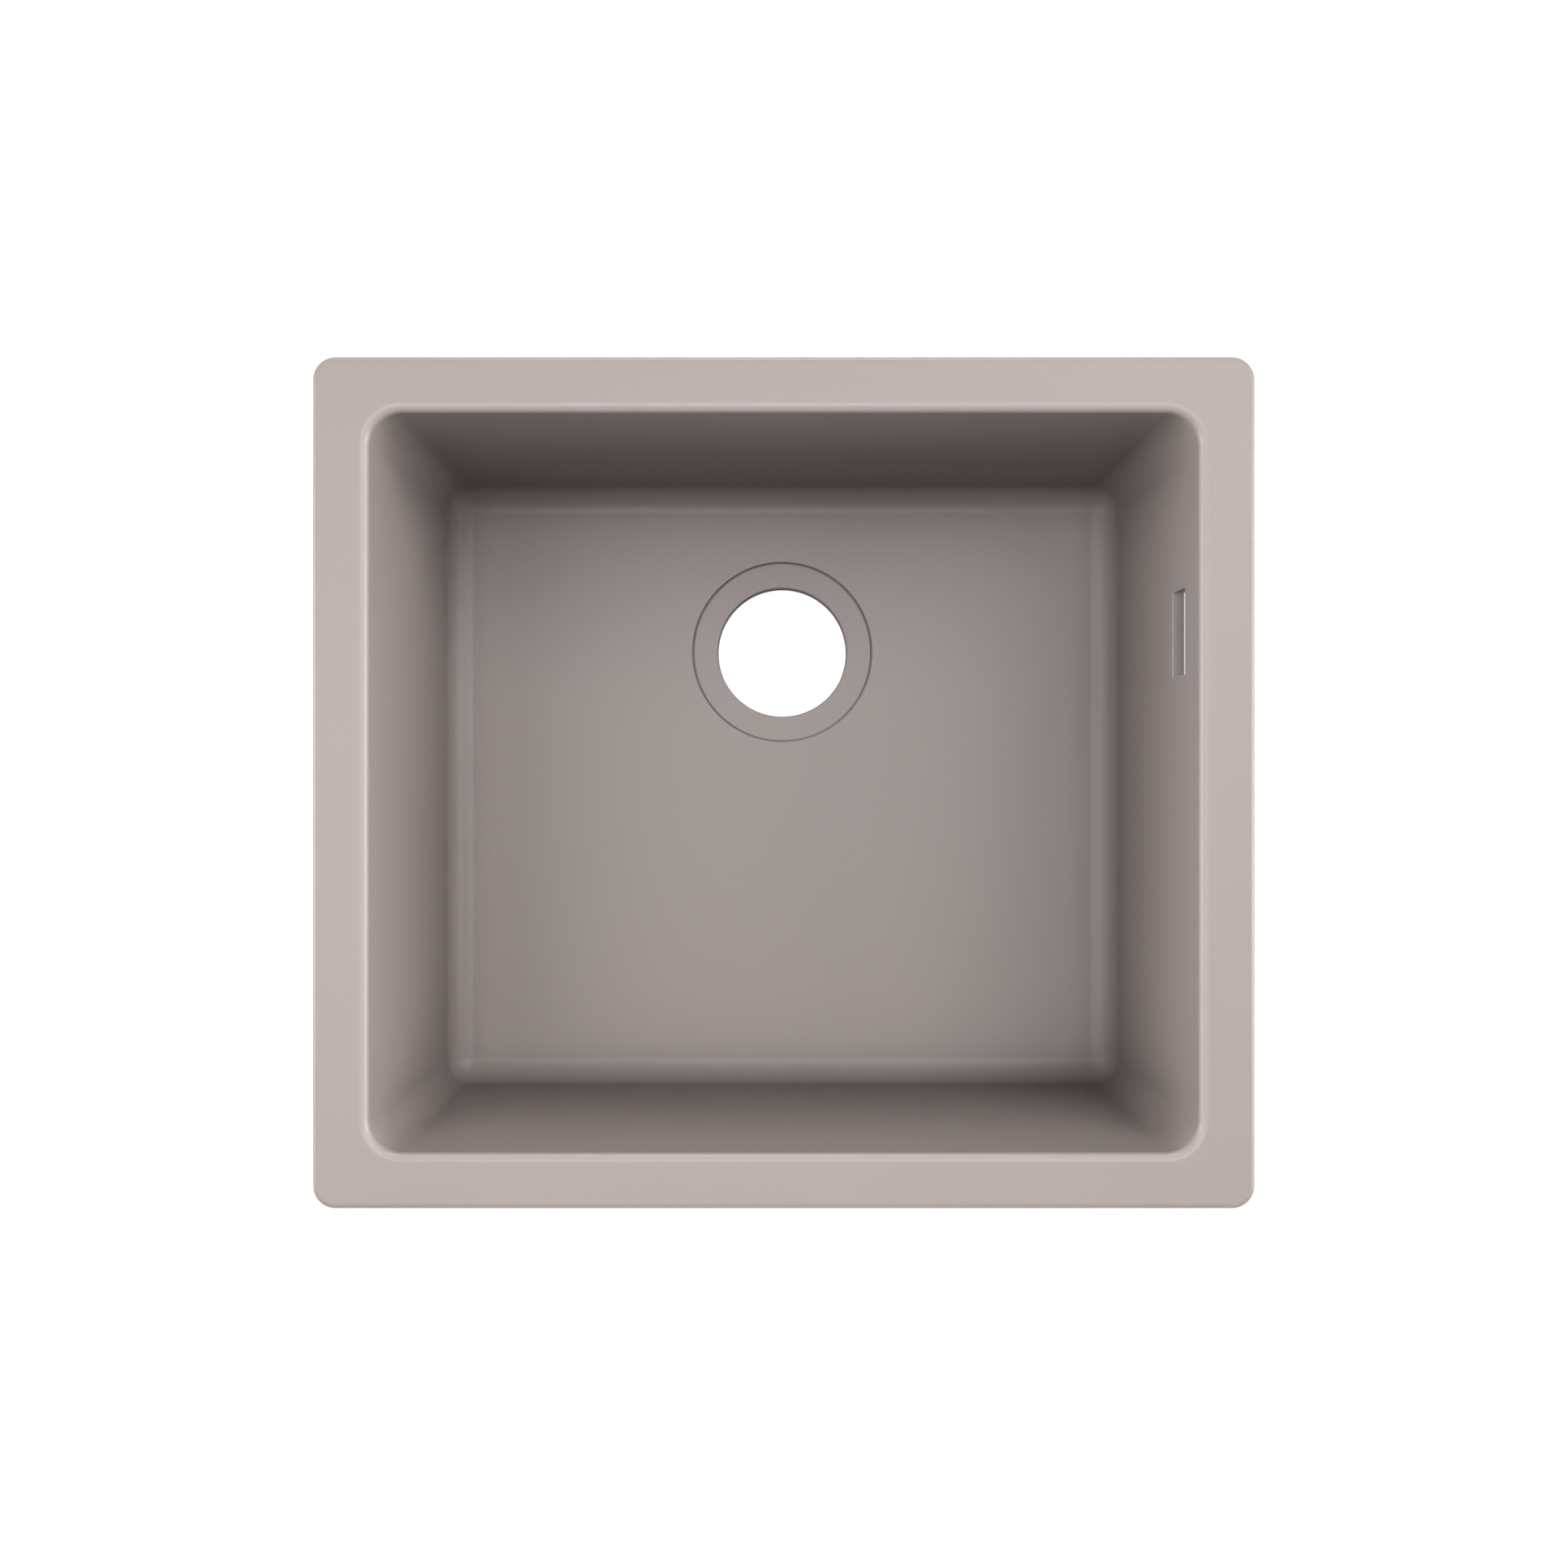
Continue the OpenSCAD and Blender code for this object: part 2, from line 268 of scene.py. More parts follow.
# %% Sizes of the bowl
mounts = {mount["name"]: mount for mount in frame["record"]["mounts"]}
rim_low, rim_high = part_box("bowl")
RIM_W, RIM_D, RIM_T = rim_high.x - rim_low.x, rim_high.y - rim_low.y, 10 * MM
RIM_CORNER_R = 12 * MM
RIM_LAND, CORNER_R = 29.5 * MM, 17.5 * MM
BOWL_DEPTH, WALL_DRAFT, WALL_T, FLOOR_T = 190 * MM, 2.5 * MM, 7 * MM, 9 * MM
WASTE_Y = mounts["waste_hole"]["pos_m"][1]
WASTE_R = mounts["waste_hole"]["dims"]["r_mm"] * MM
SEAT_Z, SEAT_R = mounts["waste_seat"]["pos_m"][2], 59.3 * MM
BOSS_Z, BOSS_R = rim_low.z, 66 * MM
SLOT_LOW, SLOT_HIGH, SLOT_LENGTH, SLOT_Y = -51.5 * MM, -27.5 * MM, 48 * MM, 83.6 * MM
# The middle of each inner corner's arc lies this far out from the middle of the sink.
AXIS_X = RIM_W / 2 - RIM_LAND - CORNER_R
AXIS_Y = RIM_D / 2 - RIM_LAND - CORNER_R
SCREW_PLACES = [Vector(joint["pos_m"]) for joint in frame["joints"]]
print(f"rim {RIM_W / MM:.1f} x {RIM_D / MM:.1f} mm, {len(SCREW_PLACES)} lug screws")

# %% [markdown]
# ## Quartz composite
# The moulding is crushed quartz in resin: a matt grey-beige with a fine, even speckle. A photograph
# of the stuff could be wrapped round it, but a pattern that is worked out from each point's own
# place needs no unwrapping and stays sharp close up. A paler band along the lip is a painted
# highlight, standing in for the light that the rounded lip catches. The same rule that shapes the
# bowl finds the lip: its distance from the middle lines of the corners. Along the back the lip's
# painted highlight is stronger still. The sides of the overflow slot are painted darker from the
# bowl outwards, as painted shade deep in the recess.

# %% A new material, and the grain
CLOUDS, SPECKS, FINE_GRAIN = 9.0, 2200.0, 900.0  # noise scales, in patches per metre


def new_material(name):
    material = bpy.data.materials.new(name)
    material.use_nodes = True
    material.node_tree.nodes.clear()
    return material, Net(material.node_tree)


def grain(net, point, scale, detail):
    """Noise from 0 to 1 that stays put on the object."""
    return net.add("ShaderNodeTexNoise", {}, {
        "Vector": point, "Scale": scale, "Detail": detail}, "Fac")


print(f"grain about {1 / SPECKS / MM:.2f} mm fine, in clouds of {1 / CLOUDS / MM:.0f} mm")

# %% Painted highlight on the lip and painted shade in the overflow slot
LIP_MIDDLE, LIP_HALF, LIP_DEPTH = 2.7 * MM, 2.3 * MM, 5 * MM
SLOT_MARGIN, SKIN = 2 * MM, 1 * MM


def painted_lip_highlight(net, x, y, z):
    """How much a point belongs to the lip, and to its back part, from 0 to 1: masks of a painted highlight."""
    past_x = net.math("MAXIMUM", net.math("ABSOLUTE", x) - AXIS_X, 0.0)
    past_y = net.math("MAXIMUM", net.math("ABSOLUTE", y) - AXIS_Y, 0.0)
    out = (past_x ** 2 + past_y ** 2) ** 0.5
    across = (out - CORNER_R - LIP_MIDDLE) / LIP_HALF
    # The lip's painted highlight: a paler band across the rounded lip.
    lip_highlight = net.math("MAXIMUM", 1 - across ** 2, 0.0) * (z > -LIP_DEPTH)
    # The lip's painted highlight is stronger towards the back.
    back_highlight = net.math("MAXIMUM", y - AXIS_Y, 0.0) / net.math("MAXIMUM", out, 1 * MM)
    return lip_highlight, back_highlight ** 2


def painted_slot_shade(net, x, y, z):
    """Painted shade in the overflow slot: from 0 at the bowl's end to about 1 at its mouth, 0 elsewhere."""
    into_wall = (x - AXIS_X - CORNER_R) / (WALL_T - SKIN)
    off_middle = net.math("ABSOLUTE", y - SLOT_Y)
    in_slot = (into_wall > 0.0) * (into_wall < 1.05) * (z > SLOT_LOW - SLOT_MARGIN)
    in_slot = in_slot * (z < SLOT_HIGH + SLOT_MARGIN)
    return in_slot * (off_middle < SLOT_LENGTH / 2 + SLOT_MARGIN) * into_wall


# The printed width is that of the lip's painted highlight band.
print(f"lip worn over {2 * LIP_HALF / MM:.1f} mm")

# %% The composite itself
GREY_DARK, GREY_LIGHT = (0.277, 0.2440, 0.2355, 1), (0.317, 0.2795, 0.2700, 1)


def composite_material():
    material, net = new_material("quartz_composite")
    point = net.add("ShaderNodeTexCoord", {}, {}, "Object")
    cloud = grain(net, point, CLOUDS, 3.0)
    speck = grain(net, point, SPECKS, 1.0)
    fine = grain(net, point, FINE_GRAIN, 3.0)
    # Masks for the painted highlight along the lip and for the painted shade in the overflow slot.
    lip_highlight, back_highlight = painted_lip_highlight(net, *net.parts(point))
    slot_shade = painted_slot_shade(net, *net.parts(point))
    tone = 0.5 + (cloud - 0.5) * 0.25 + (speck - 0.5) * 0.5
    tone = tone + lip_highlight * (0.45 + cloud * 0.5 + back_highlight) - slot_shade * 2.2
    # The factor isn't clamped, so that the lip's painted highlight at the back can go past the light
    # tint and the painted shade in the slot past the dark.
    colour = net.add("ShaderNodeMix", {"data_type": "RGBA", "clamp_factor": False}, {
        "Factor": tone, 6: GREY_DARK, 7: GREY_LIGHT}, 2)
    bump = net.add("ShaderNodeBump", {}, {
        "Height": speck * 0.4 + fine * 0.6, "Strength": 0.25, "Distance": 0.05 * MM})
    surface = net.add("ShaderNodeBsdfPrincipled", {}, {
        "Base Color": colour, "Roughness": 0.41 + (fine - 0.5) * 0.2,
        "Specular IOR Level": 0.4, "Normal": bump})
    net.add("ShaderNodeOutputMaterial", {}, {"Surface": surface})
    return material


composite = composite_material()
print("made", composite.name)

# %% [markdown]
# ## Steel and brass
# The lugs, screws and washers are zinc-plated steel, the spring washers are hardened steel left
# dark, and the inserts are brass. All three are bare metal with a slightly uneven skin, so one
# function makes them from a dark tint, a light tint and a polish. Soft clouds vary tint and polish
# together, as the plating bath and handling do, and a fine bump breaks up the reflections. Drawn
# scratches would be another way, but on parts this small they would hardly show.

# %% Three metals
METAL_CLOUDS, METAL_FINE = 220.0, 2600.0  # noise scales, in patches per metre


def metal_material(name, dark, light, roughness):
    material, net = new_material(name)
    point = net.add("ShaderNodeTexCoord", {}, {}, "Object")
    cloud = grain(net, point, METAL_CLOUDS, 3.0)
    fine = grain(net, point, METAL_FINE, 2.0)
    colour = net.add("ShaderNodeMix", {"data_type": "RGBA"}, {
        "Factor": cloud, 6: (*dark, 1), 7: (*light, 1)}, 2)
    bump = net.add("ShaderNodeBump", {}, {
        "Height": fine, "Strength": 0.2, "Distance": 0.02 * MM})
    surface = net.add("ShaderNodeBsdfPrincipled", {}, {
        "Base Color": colour, "Metallic": 1.0, "Roughness": roughness + (cloud - 0.5) * 0.25,
        "Normal": bump})
    net.add("ShaderNodeOutputMaterial", {}, {"Surface": surface})
    print("made", name)
    return material


zinc = metal_material("zinc_plate", (0.42, 0.43, 0.45), (0.62, 0.62, 0.63), 0.38)
spring_steel = metal_material("spring_steel", (0.10, 0.10, 0.11), (0.24, 0.24, 0.25), 0.42)
brass = metal_material("brass", (0.55, 0.36, 0.13), (0.76, 0.56, 0.26), 0.32)

# %% [markdown]
# ## The bowl's rule: one section carried round
# The real bowl is one casting, and its shape follows a rule: one section is carried round a
# rectangle with rounded corners. It could be pulled out of a box and bevelled, but then the lip,
# the rim and the sweep at the floor would each be tuned by hand. Here two helpers hold the rule.
# The first draws a section as a line of points and rounds each point with its own fillet. The
# second wraps a grid round that line, and a function says where each point of the grid goes.

# %% A section line with rounded corners
MANY_STEPS_OVER = 1 * MM  # smaller fillets are a plain chamfer


def section_line(net, section, steps, closed=True):
    """A line through rows of (distance out, shift, height, fillet)."""
    line = net.add("GeometryNodeMeshLine", {}, {"Count": len(section)})
    index = net.add("GeometryNodeInputIndex")
    corners = net.add("GeometryNodeIndexSwitch", {"data_type": "VECTOR", "items": len(section)}, {
        0: index, **{i + 1: net.point(*row[:3]) for i, row in enumerate(section)}})
    fillets = net.add("GeometryNodeIndexSwitch", {"data_type": "FLOAT", "items": len(section)}, {
        0: index, **{i + 1: row[3] for i, row in enumerate(section)}})
    line = net.add("GeometryNodeSetPosition", {}, {"Geometry": line, "Position": corners})
    line = net.add("GeometryNodeMeshToCurve", {}, {"Mesh": line})
    line = net.add("GeometryNodeSetSplineCyclic", {}, {"Geometry": line, "Cyclic": closed})
    count = 1 + steps * (fillets > MANY_STEPS_OVER)
    return net.add("GeometryNodeFilletCurve", {"mode": "POLY"}, {
        "Curve": line, "Count": count, "Radius": fillets, "Limit Radius": False})


print(f"fillets over {MANY_STEPS_OVER / MM:.0f} mm get many steps")

# %% A grid wrapped round a line
GRID_WELD = 0.005 * MM


def wrap(net, line, columns, shape, closed=True):
    """A grid with a row for each point of the line. shape(a, b, c, column) places each point."""
    rows = net.add("GeometryNodeAttributeDomainSize", {"component": "CURVE"}, {"Geometry": line})
    grid = net.add("GeometryNodeMeshGrid", {}, {
        "Vertices X": rows + int(closed), "Vertices Y": columns + 1})
    index = net.add("GeometryNodeInputIndex")
    row = net.math("FLOOR", index / (columns + 1)) % rows
    column = (index % (columns + 1)) % columns
    here = net.add("GeometryNodeInputPosition")
    found = net.add("GeometryNodeSampleIndex", {"data_type": "FLOAT_VECTOR"}, {
        "Geometry": line, "Value": here, "Index": row})
    spot = net.point(*shape(*net.parts(found), column))
    grid = net.add("GeometryNodeSetPosition", {}, {"Geometry": grid, "Position": spot})
    return net.add("GeometryNodeMergeByDistance", {}, {"Geometry": grid, "Distance": GRID_WELD})


print(f"a wrapped grid is welded at {GRID_WELD / MM} mm")

# %% [markdown]
# ## Overflow slot, bosses and pockets
# The overflow is a rectangular window through the right-hand wall, slightly wider at its outer
# mouth so that the mould's core draws out. Under the rim, each screw has a round boss with a blind
# pocket for its brass insert. The window could be planned into the wall's grid, but cutting it with
# a block leaves the section's rule alone. The bosses and pockets are one cylinder, copied onto the
# ten screw places.

# %% Cutter of the overflow slot
CUTTER_BACK, CUTTER_PAST = 8 * MM, 1 * MM


def overflow_cutter(net, size):
    """A block through the right-hand wall, slightly flared at the outer mouth."""
    low, high, long = size["Slot low"], size["Slot high"], size["Slot length"]
    tall = high - low
    face = size["Axis x"] + size["Corner radius"] + size["Draft"] * low / size["Depth"]
    mouth = face + size["Wall"] - size["Slot flare"]
    reach = size["Slot flare"] + CUTTER_PAST
    # The block's points stand at x = -1, 0 and 1: inside the bowl, at the mouth, and outside.
    block = net.add("GeometryNodeMeshCube", {}, {
        "Size": net.point(2.0, long, tall), "Vertices X": 3, "Vertices Y": 2, "Vertices Z": 2})
    x, y, z = net.parts(net.add("GeometryNodeInputPosition"))
    inwards, outwards = net.math("MAXIMUM", -x, 0.0), net.math("MAXIMUM", x, 0.0)
    spot = net.point(
        mouth + outwards * reach - inwards * CUTTER_BACK,
        y * (1 + 2 * outwards * reach / long) + size["Slot y"],
        z * (1 + 2 * outwards * reach / tall) + (low + high) / 2)
    return net.add("GeometryNodeSetPosition", {}, {"Geometry": block, "Position": spot})


print(f"slot {SLOT_LENGTH / MM:.0f} x {(SLOT_HIGH - SLOT_LOW) / MM:.0f} mm")

# %% Upright cylinders on the screw places
ROUND_SIDES = 48


def round_posts(net, points, radius, low, high):
    """The same upright cylinder on every seed point."""
    pin = net.add("GeometryNodeMeshCylinder", {"fill_type": "NGON"}, {
        "Vertices": ROUND_SIDES, "Radius": radius, "Depth": high - low})
    x, y, _ = net.parts(net.add("GeometryNodeInputPosition"))
    spots = net.add("GeometryNodeSetPosition", {}, {
        "Geometry": points, "Position": net.point(x, y, (low + high) / 2)})
    pins = net.add("GeometryNodeInstanceOnPoints", {}, {"Points": spots, "Instance": pin})
    return net.add("GeometryNodeRealizeInstances", {}, {"Geometry": pins})


print(f"bosses and pockets have {ROUND_SIDES} sides")

# %% [markdown]
# ## The section of the bowl
# The section starts at the waste hole, crosses its sunk seat with a thin groove round it, runs out
# over the floor, up the wall, over the lip and the rim, and comes back underneath. A wall could be
# given its thickness by a Solidify modifier, but on the real casting the underside has its own
# shape, so the line goes all the way round. Near the waste the shift draws the four corners
# together into one point, and what was a rounded rectangle becomes a circle.

# %% Rows of the section
HAIR = 0.4 * MM  # so small a corner that the floor's rows are nearly rectangles
EASED, BOSS_EASED = 0.5 * MM, 2 * MM
LAND_IN, LAND_OUT, ROOT_OUT, ROUND_OUT = 8 * MM, 4 * MM, 6 * MM, 2 * MM


def bowl_section(size):
    """Rows of (distance out, shift of the corner line, height, fillet)."""
    corner, wall, rim_corner, edge = (
        size[name] for name in ("Corner radius", "Wall", "Rim corner", "Edge shift"))
    floor, base, under = -size["Depth"], -size["Depth"] - size["Floor"], -size["Rim"]
    waste, seat_r, seat = size["Waste radius"], size["Seat radius"], size["Seat height"]
    boss_r, boss, sweep = size["Boss radius"], size["Boss height"], size["Sweep"]
    groove, centre = size["Relief"], -size["Axis x"]

    def inner(z):
        return corner + size["Draft"] * z / size["Depth"]

    return [
        (waste, centre, seat, EASED),  # the waste hole's edge
        (seat_r - groove, centre, seat, 0.15 * MM),  # the seat, as far as its groove
        (seat_r - groove, centre, seat - groove, 0.3 * MM),
        (seat_r, centre, seat - groove, 0.3 * MM),
        (seat_r, centre, floor, 0.25 * MM),  # up to the floor again
        (seat_r + ROUND_OUT, centre, floor, 0.0),
        (HAIR, 0.0, floor, 0.0),
        (inner(floor), 0.0, floor, sweep),  # the sweep from floor to wall
        (corner, 0.0, 0.0, size["Lip"]),
        (corner + LAND_IN, 0.0, 0.0, 0.0),  # the rim's flat land
        (rim_corner - LAND_OUT, edge, 0.0, 0.0),
        (rim_corner, edge, 0.0, size["Edge round"]),
        (rim_corner, edge, under, size["Under round"]),
        (rim_corner - LAND_OUT, edge, under, 0.0),  # back under the rim
        (inner(under) + wall + ROOT_OUT, 0.0, under, 0.0),
        (inner(under) + wall, 0.0, under, size["Root"]),
        (inner(base) + wall, 0.0, base, sweep + wall),  # down the outside of the wall
        (HAIR, 0.0, base, 0.0),
        (boss_r + ROUND_OUT, centre, base, 0.0),
        (boss_r, centre, base, EASED),  # the boss that the waste's nut clamps on
        (boss_r, centre, boss, BOSS_EASED),
        (waste, centre, boss, EASED),
    ]


print(f"the section runs from {BOSS_Z / MM:.0f} to 0 mm")

# %% [markdown]
# ## The bowl, put together
# Each column of the grid has an angle round the sink, and each angle belongs to one of four
# corners. A point goes out from the middle of its corner by its distance. Then the bosses are
# joined on, and the slot and the pockets are cut away. A Boolean modifier would do this too, but in
# the tree the whole casting stays one recipe.

# %% The bowl's tree
BOSS_BITE, POCKET_PAST = 4 * MM, 1 * MM
QUARTER = math.pi / 2


def bowl_tree(net, size, points):
    axis_x, axis_y, steps = size["Axis x"], size["Axis y"], size["Corner steps"]

    def carried_round(out, shift, z, column):
        per_corner = steps + 1
        quadrant = net.math("FLOOR", column / per_corner)
        angle = (quadrant + (column % per_corner) / steps) * QUARTER
        diagonal = (quadrant + 0.5) * QUARTER
        side_x = net.math("COSINE", diagonal) * math.sqrt(2)
        side_y = net.math("SINE", diagonal) * math.sqrt(2)
        # whole is 1 where the four corners keep their places and 0 where they meet at the waste.
        whole = net.add("ShaderNodeMath", {"operation": "ADD", "use_clamp": True}, {
            0: shift / axis_x, 1: 1.0})
        outward = net.math("MAXIMUM", shift, 0.0)
        x = side_x * whole * (axis_x + outward) + out * net.math("COSINE", angle)
        y = side_y * whole * (axis_y + outward) + out * net.math("SINE", angle)
        return x, y + (1 - whole) * size["Waste y"], z

    line = section_line(net, bowl_section(size), size["Steps"])
    casting = wrap(net, line, 4 * (steps + 1), carried_round)
    studs = round_posts(net, points, size["Stud radius"], size["Stud height"],
                        BOSS_BITE - size["Rim"])
    pockets = round_posts(net, points, size["Pocket radius"], size["Stud height"] - POCKET_PAST,
                          size["Pocket top"])
    solid = net.add("GeometryNodeMeshBoolean", {"operation": "UNION", "solver": "EXACT"}, {
        "Mesh 2": [casting, studs]})
    return net.add("GeometryNodeMeshBoolean", {"operation": "DIFFERENCE", "solver": "EXACT"}, {
        "Mesh 1": solid, "Mesh 2": [overflow_cutter(net, size), pockets]})


print(f"the corners' middles lie {AXIS_X / MM:.0f} mm across and {AXIS_Y / MM:.0f} mm along")

# %% Grow the bowl
STUD_Z = -13 * MM
bowl_sizes = {
    "Axis x": AXIS_X, "Axis y": AXIS_Y, "Corner radius": CORNER_R, "Corner steps": 24,
    "Rim": RIM_T, "Rim corner": RIM_CORNER_R, "Edge shift": RIM_W / 2 - RIM_CORNER_R - AXIS_X,
    "Edge round": 3 * MM, "Under round": 1.001 * MANY_STEPS_OVER, "Root": 3 * MM,
    "Lip": 4.5 * MM, "Depth": BOWL_DEPTH, "Draft": WALL_DRAFT, "Wall": WALL_T,
    "Floor": FLOOR_T, "Sweep": 14.5 * MM, "Steps": 10,
    "Waste radius": WASTE_R, "Waste y": WASTE_Y, "Relief": 1 * MM,
    "Seat radius": SEAT_R, "Seat height": SEAT_Z, "Boss radius": BOSS_R, "Boss height": BOSS_Z,
    "Slot low": SLOT_LOW, "Slot high": SLOT_HIGH, "Slot length": SLOT_LENGTH, "Slot y": SLOT_Y,
    "Slot flare": 0.4 * MM, "Stud radius": 7.5 * MM, "Stud height": STUD_Z,
    "Pocket radius": 4.55 * MM, "Pocket top": -3.5 * MM,
}
shell = grow("bowl_shell", bowl_tree, bowl_sizes, composite, SCREW_PLACES)

# %% Ease the cut edges and place the bowl
CUT_EASING = 0.08 * MM
SLOT_NEAR, STUD_NEAR, RIM_NEAR = 1.5 * MM, 0.5 * MM, 0.1 * MM


def has_cut_edges(spot):
    """True round the overflow slot, and from the bosses' ends up to the rim's underside."""
    slot = spot.x > AXIS_X and SLOT_LOW - SLOT_NEAR < spot.z < SLOT_HIGH + SLOT_NEAR
    return slot or STUD_Z - STUD_NEAR < spot.z < RIM_NEAR - RIM_T


place(finish_mesh(shell, CUT_EASING, 2, has_cut_edges), "bowl", "bowl", "composite")

# %% [markdown]
# ## Screws under the rim
# Ten hexagon screws hold the lugs, each in a brass insert, with a spring washer and a plain washer
# under its head. They could be copied by hand, but all ten sets are the same, so each small part is
# drawn once and put on the ten screw places. No two screws stop at the same angle, so each copy is
# turned by a random angle, with a fixed seed so that it never changes. A hexagon head has its
# corners turned off at a slant. Carrying a section round a circle and then cutting every distance
# down to the hexagon's flats gives exactly that curved edge.

# %% Copies on the screw places
def turned_copies(net, points, part, seed, spread):
    """The same part on every seed point, each turned about Z by a random angle."""
    angle = net.add("FunctionNodeRandomValue", {"data_type": "FLOAT"}, {
        2: -spread, 3: spread, "Seed": seed}, 1)
    x, y, _ = net.parts(net.add("GeometryNodeInputPosition"))
    spots = net.add("GeometryNodeSetPosition", {}, {
        "Geometry": points, "Position": net.point(x, y, 0.0)})
    return net.add("GeometryNodeInstanceOnPoints", {}, {
        "Points": spots, "Instance": part, "Rotation": net.point(0.0, 0.0, angle)})


print(f"{len(SCREW_PLACES)} places, the first at {tuple(round(c, 3) for c in SCREW_PLACES[0])}")

# %% The screw's tree
SCREW_SEED = 3
FACE_SHARE = 0.93  # the flat end of the head, as a share of the hexagon
SLANT = math.tan(math.radians(60))
SLANT_STEPS, SLANT_END = (0.12, 0.25, 0.4, 0.6), 0.62
NECK, POINT = 0.3 * MM, 0.8 * MM


def screw_tree(net, size, points):
    """A head and a plain shank, as one line carried round and cut to six sides."""
    flats, low, top = size["Across flats"] / 2, size["Head low"], size["Head top"]
    shank, tip = size["Shank radius"], size["Tip"]
    rows = [(0.0, 0.0, low, 0.0), (FACE_SHARE * flats, 0.0, low, 0.0)]
    for step in SLANT_STEPS:
        rows.append((FACE_SHARE * flats + step * MM * SLANT, 0.0, low + step * MM, 0.0))
    rows += [(2 * flats, 0.0, low + SLANT_END * MM, 0.0), (2 * flats, 0.0, top, 0.0),
             (shank + NECK, 0.0, top, 0.0), (shank, 0.0, top + NECK, 0.0),
             (shank, 0.0, tip - POINT, 0.0), (shank - POINT, 0.0, tip, 0.0),
             (0.0, 0.0, tip, 0.0)]

    def hexagon(out, _, z, column):
        angle = column * (2 * math.pi / ROUND_SIDES)
        side = net.math("FLOORED_MODULO", angle + math.pi / 6, math.pi / 3) - math.pi / 6
        radius = net.math("MINIMUM", out, flats / net.math("COSINE", side))
        return radius * net.math("COSINE", angle), radius * net.math("SINE", angle), z

    line = section_line(net, rows, 0, closed=False)
    screw = wrap(net, line, ROUND_SIDES, hexagon, closed=False)
    return turned_copies(net, points, screw, SCREW_SEED, math.pi)


print(f"the head's corners slant over {SLANT_END} mm")

# %% Ten screws
screw_low, screw_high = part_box("lug_screws")
HEAD_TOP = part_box("lug_spring_washers")[0].z
screws = grow("lug_screw_set", screw_tree, {
    "Across flats": 10 * MM, "Head low": screw_low.z, "Head top": HEAD_TOP,
    "Shank radius": 3 * MM, "Tip": screw_high.z}, zinc, SCREW_PLACES)
place(finish_mesh(screws), "bowl", "lug_screws", "screw_steel")

# %% [markdown]
# ## Washers and spring washers
# A washer is a stamped ring, and a spring washer is a ring of square wire with a split. Two nested
# cylinders and a Boolean would make either. A small rounded section swept along an arc makes both
# with their edges already eased, and the split is only a shorter arc.

# %% The washer's tree
WASHER_SEED = 5
ARC_POINTS, NO_SPLIT = 65, 0.1 * MM


def washer_tree(net, size, points):
    """A small rounded section carried round a circle, with an optional split."""
    outer, inner, split = size["Outer radius"], size["Inner radius"], size["Split"]
    gap = split / outer
    circle = net.add("GeometryNodeCurveArc", {}, {
        "Resolution": ARC_POINTS, "Radius": (outer + inner) / 2, "Start Angle": gap / 2,
        "Sweep Angle": 2 * math.pi - gap})
    circle = net.add("GeometryNodeSetSplineCyclic", {}, {
        "Geometry": circle, "Cyclic": split < NO_SPLIT})
    circle = net.add("GeometryNodeSetCurveNormal", {"mode": "Z_UP"}, {"Curve": circle})
    section = net.add("GeometryNodeCurvePrimitiveQuadrilateral", {}, {
        "Width": outer - inner, "Height": size["Thickness"]})
    section = net.add("GeometryNodeFilletCurve", {"mode": "POLY"}, {
        "Curve": section, "Count": 3, "Radius": size["Edge"]})
    ring = net.add("GeometryNodeCurveToMesh", {}, {
        "Curve": circle, "Profile Curve": section, "Fill Caps": True})
    x, y, z = net.parts(net.add("GeometryNodeInputPosition"))
    ring = net.add("GeometryNodeSetPosition", {}, {
        "Geometry": ring, "Position": net.point(x, y, z + size["Middle height"])})
    return turned_copies(net, points, ring, WASHER_SEED, size["Turn"])


print(f"a washer has {ARC_POINTS - 1} segments")

# %% Two sets of washers
# CAD node, piece, then in mm the outer and inner radius, eased edge and split, metal, slot
for node, label, outer, inner, edge, split, metal, slot in (
        ("lug_washers", "lug_washer_set", 6.0, 3.2, 0.2, 0.0, zinc, "washer_steel"),
        ("lug_spring_washers", "lug_spring_washer_set", 5.3, 3.2, 0.15, 1.2,
         spring_steel, "spring_steel")):
    low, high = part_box(node)
    rings = grow(label, washer_tree, {
        "Outer radius": outer * MM, "Inner radius": inner * MM, "Thickness": high.z - low.z,
        "Edge": edge * MM, "Split": split * MM, "Turn": math.pi,
        "Middle height": (low.z + high.z) / 2}, metal, SCREW_PLACES)
    place(finish_mesh(rings), "bowl", node, slot)

# %% [markdown]
# ## Lugs
# A lug is a flat steel plate, stamped with round ends and two holes: one for its own screw, and one
# for the screw that goes up into the worktop. Each turns by itself, so each is its own piece on its
# own body. The plate is drawn as it is stamped: an outline with two circles in it is filled, then
# given its thickness. Its place and its parked direction are read from the frame.

# %% The lug's tree
END_STEPS, HOLE_SIDES = 16, 40
END_SHORT = 0.01 * MM  # keeps the two fillets of an end from meeting in a doubled point


